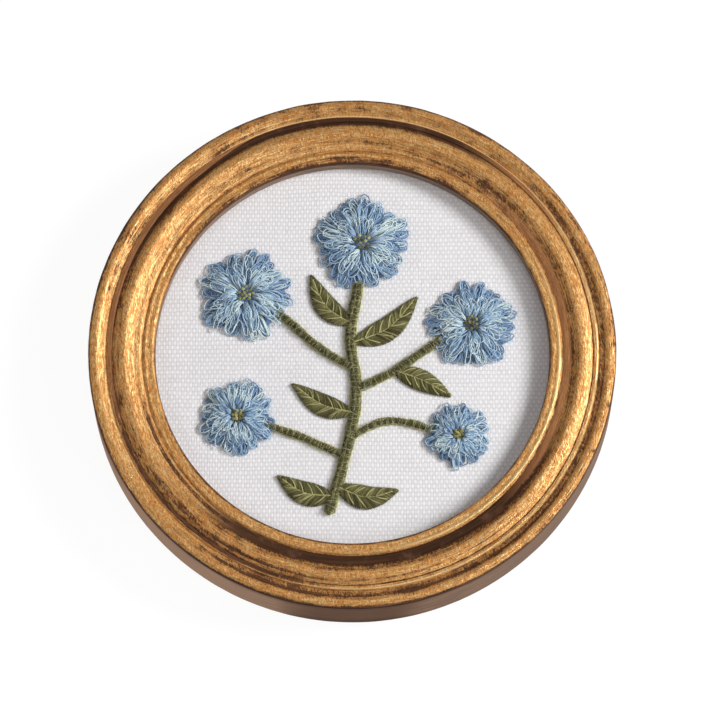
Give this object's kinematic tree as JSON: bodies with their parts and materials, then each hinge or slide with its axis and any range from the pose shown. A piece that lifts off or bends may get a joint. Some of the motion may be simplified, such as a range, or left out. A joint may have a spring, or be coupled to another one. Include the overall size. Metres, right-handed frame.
{
  "type": "embroidered canvas in a round moulded picture frame",
  "caption": "Small round picture frame with a gilt moulding, holding stretched white canvas embroidered with blue looped-yarn flowers on green stems.",
  "frame": {"origin": "centre of the back face of the frame, on the surface that the piece lies on", "axes": "+Z out of the stitched face, the thin direction; +Y towards the top of the picture; +X to its right"},
  "size_m": [0.1106, 0.1106, 0.0139],
  "materials": {
    "antique_gilt": "rubbed gilt over dark brown, with fine brush lines",
    "canvas": "plain-weave white cotton canvas",
    "board": "plain brown fibreboard",
    "blue_yarn": "looped wool yarn in mid blue with pale aqua strands",
    "green_yarn": "olive wool yarn laid and couched"
  },
  "bodies": {
    "root": {"frame": "antique_gilt", "cloth": "canvas", "backing_board": "board", "flower_top": "blue_yarn", "flower_right": "blue_yarn", "flower_left": "blue_yarn", "flower_low_left": "blue_yarn", "flower_low_right": "blue_yarn", "stem_main": "green_yarn", "stem_right": "green_yarn", "stem_left": "green_yarn", "stem_low_left": "green_yarn", "stem_low_right": "green_yarn", "leaf_1": "green_yarn", "leaf_2": "green_yarn", "leaf_3": "green_yarn", "leaf_4": "green_yarn", "leaf_5": "green_yarn", "leaf_6": "green_yarn"}
  },
  "joints": []
}
